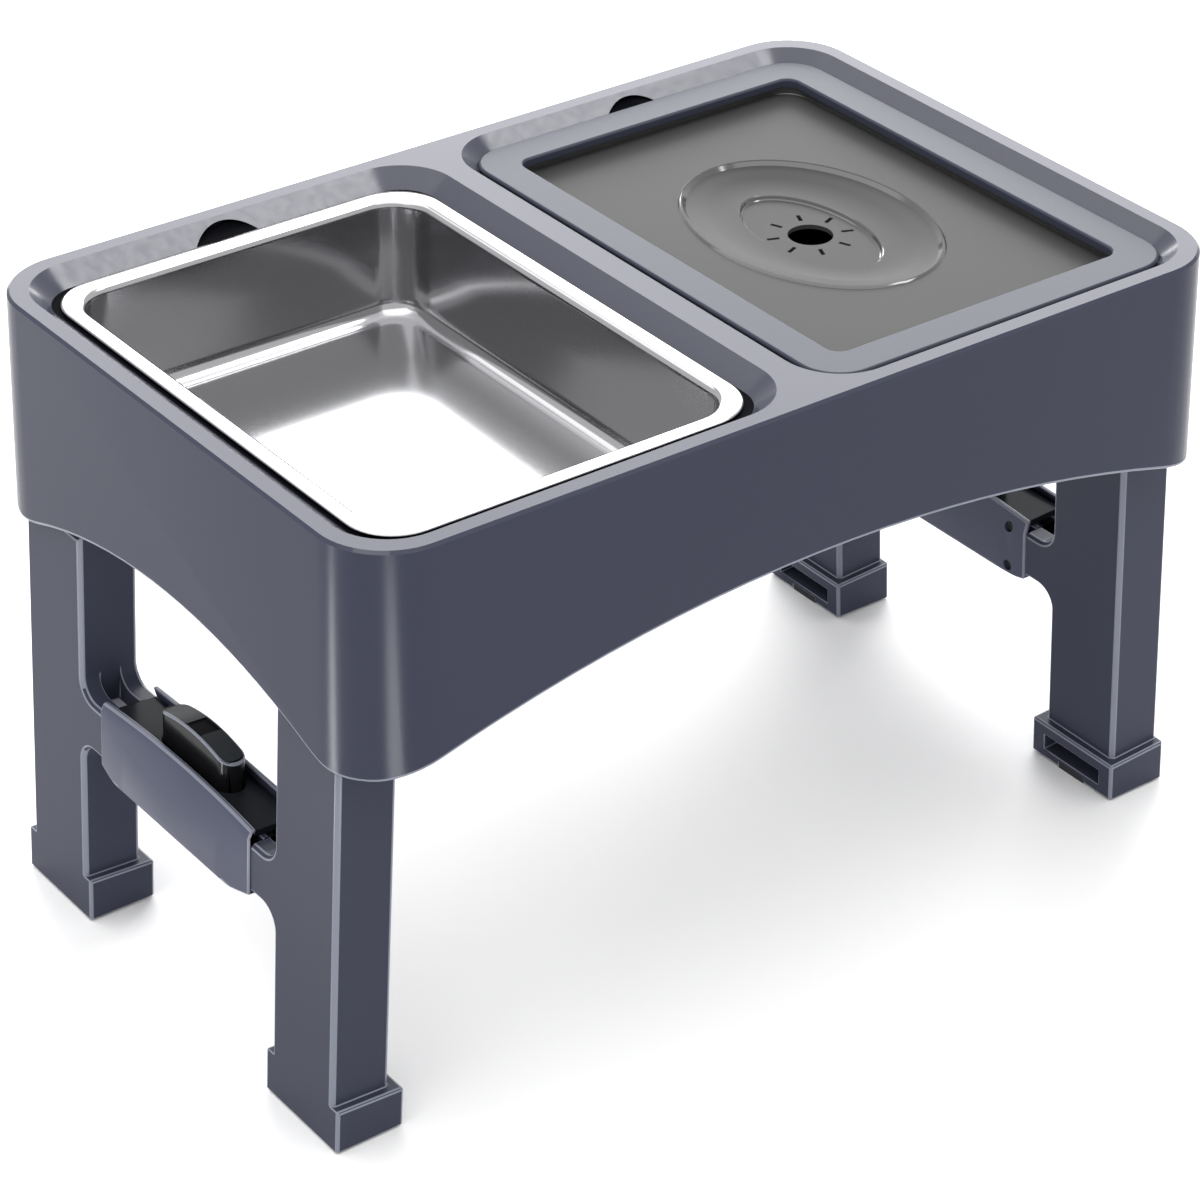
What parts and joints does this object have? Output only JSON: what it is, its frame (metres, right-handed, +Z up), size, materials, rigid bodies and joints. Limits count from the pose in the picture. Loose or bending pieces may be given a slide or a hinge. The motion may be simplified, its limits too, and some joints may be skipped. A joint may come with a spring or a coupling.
{
  "type": "elevated slow feeder dog bowl",
  "caption": "Raised pet feeder table with a steel food bowl, a no-spill water bowl with a floating plate, and folding legs with sliding frames and latched hand grips",
  "frame": {"origin": "on the floor, under the middle of the table", "axes": "+X along the table towards the water bowl, +Y to the back where the finger notches are, +Z up"},
  "size_m": [0.4482, 0.2872, 0.278],
  "materials": {
    "table_plastic": "fine satin moulded surface",
    "leg_plastic": "fine satin moulded surface",
    "bowl_steel": "polished drawn steel",
    "basin_plastic": "smooth moulded surface",
    "cover_plastic": "satin moulded surface",
    "float_plastic": "smooth half-gloss surface",
    "grip_plastic": "fine satin moulded surface",
    "deck_plastic": "polished dark surface",
    "button_plastic": "black half-gloss surface",
    "bolt_plastic": "pale plain moulded surface",
    "post_plastic": "plain moulded surface",
    "pin_steel": "bright drawn steel",
    "spring_steel": "bright spring wire",
    "pad_rubber": "matt rubber"
  },
  "bodies": {
    "table": {"table_body": "table_plastic", "left_hinge_pin_front": "pin_steel", "left_hinge_pin_back": "pin_steel", "right_hinge_pin_front": "pin_steel", "right_hinge_pin_back": "pin_steel"},
    "food_bowl": {"food_bowl": "bowl_steel"},
    "water_bowl": {"water_bowl": "basin_plastic"},
    "splash_cover": {"splash_cover": "cover_plastic"},
    "float": {"float_plate": "float_plastic"},
    "left_inner_leg": {"left_inner_post_front": "post_plastic", "left_inner_post_back": "post_plastic"},
    "left_leg": {"left_leg_frame": "leg_plastic", "left_grip_outer": "grip_plastic", "left_grip_inner": "grip_plastic", "left_grip_deck": "deck_plastic", "left_latch_spring": "spring_steel", "left_foot_pad_front": "pad_rubber", "left_foot_pad_back": "pad_rubber"},
    "left_button": {"left_push_button": "button_plastic"},
    "left_bolt_front": {"left_latch_bolt_front": "bolt_plastic"},
    "left_bolt_back": {"left_latch_bolt_back": "bolt_plastic"},
    "right_inner_leg": {"right_inner_post_front": "post_plastic", "right_inner_post_back": "post_plastic"},
    "right_leg": {"right_leg_frame": "leg_plastic", "right_grip_outer": "grip_plastic", "right_grip_inner": "grip_plastic", "right_grip_deck": "deck_plastic", "right_latch_spring": "spring_steel", "right_foot_pad_front": "pad_rubber", "right_foot_pad_back": "pad_rubber"},
    "right_button": {"right_push_button": "button_plastic"},
    "right_bolt_front": {"right_latch_bolt_front": "bolt_plastic"},
    "right_bolt_back": {"right_latch_bolt_back": "bolt_plastic"}
  },
  "joints": [
    {"name": "food_bowl_lift", "type": "slide", "parent": "table", "child": "food_bowl", "axis": [0, 0, 1], "range_m": [0, 0.09]},
    {"name": "water_bowl_lift", "type": "slide", "parent": "table", "child": "water_bowl", "axis": [0, 0, 1], "range_m": [0, 0.09]},
    {"name": "cover_lift", "type": "slide", "parent": "water_bowl", "child": "splash_cover", "axis": [0, 0, 1], "range_m": [0, 0.05]},
    {"name": "float_travel", "type": "slide", "parent": "water_bowl", "child": "float", "axis": [0, 0, 1], "range_m": [-0.025, 0], "stiffness_N_per_m": 300, "springref_m": 0.008},
    {"name": "left_leg_fold", "type": "hinge", "parent": "table", "child": "left_inner_leg", "pos_m": [-0.19955, 0, 0.197], "axis": [0, -1, 0], "range_deg": [0, 93]},
    {"name": "left_leg_height", "type": "slide", "parent": "left_inner_leg", "child": "left_leg", "axis": [0.055, 0, 0.9985], "range_m": [-0.05, 0]},
    {"name": "left_button_press", "type": "slide", "parent": "left_leg", "child": "left_button", "axis": [0.055, 0, 0.9985], "range_m": [-0.005, 0], "stiffness_N_per_m": 600, "springref_m": 0.003, "deforming": ["left_latch_spring"]},
    {"name": "left_bolt_front_draw", "type": "slide", "parent": "left_leg", "child": "left_bolt_front", "axis": [0, 1, 0], "range_m": [0, 0.005]},
    {"name": "left_bolt_back_draw", "type": "slide", "parent": "left_leg", "child": "left_bolt_back", "axis": [0, -1, 0], "range_m": [0, 0.005]},
    {"name": "right_leg_fold", "type": "hinge", "parent": "table", "child": "right_inner_leg", "pos_m": [0.19955, 0, 0.197], "axis": [0, 1, 0], "range_deg": [0, 93]},
    {"name": "right_leg_height", "type": "slide", "parent": "right_inner_leg", "child": "right_leg", "axis": [-0.055, 0, 0.9985], "range_m": [-0.05, 0]},
    {"name": "right_button_press", "type": "slide", "parent": "right_leg", "child": "right_button", "axis": [-0.055, 0, 0.9985], "range_m": [-0.005, 0], "stiffness_N_per_m": 600, "springref_m": 0.003, "deforming": ["right_latch_spring"]},
    {"name": "right_bolt_front_draw", "type": "slide", "parent": "right_leg", "child": "right_bolt_front", "axis": [0, 1, 0], "range_m": [0, 0.005]},
    {"name": "right_bolt_back_draw", "type": "slide", "parent": "right_leg", "child": "right_bolt_back", "axis": [0, -1, 0], "range_m": [0, 0.005]}
  ],
  "couplings": [
    {"joint": "left_bolt_front_draw", "follows": "left_button_press", "ratio": -1},
    {"joint": "left_bolt_back_draw", "follows": "left_button_press", "ratio": -1},
    {"joint": "right_bolt_front_draw", "follows": "right_button_press", "ratio": -1},
    {"joint": "right_bolt_back_draw", "follows": "right_button_press", "ratio": -1}
  ]
}
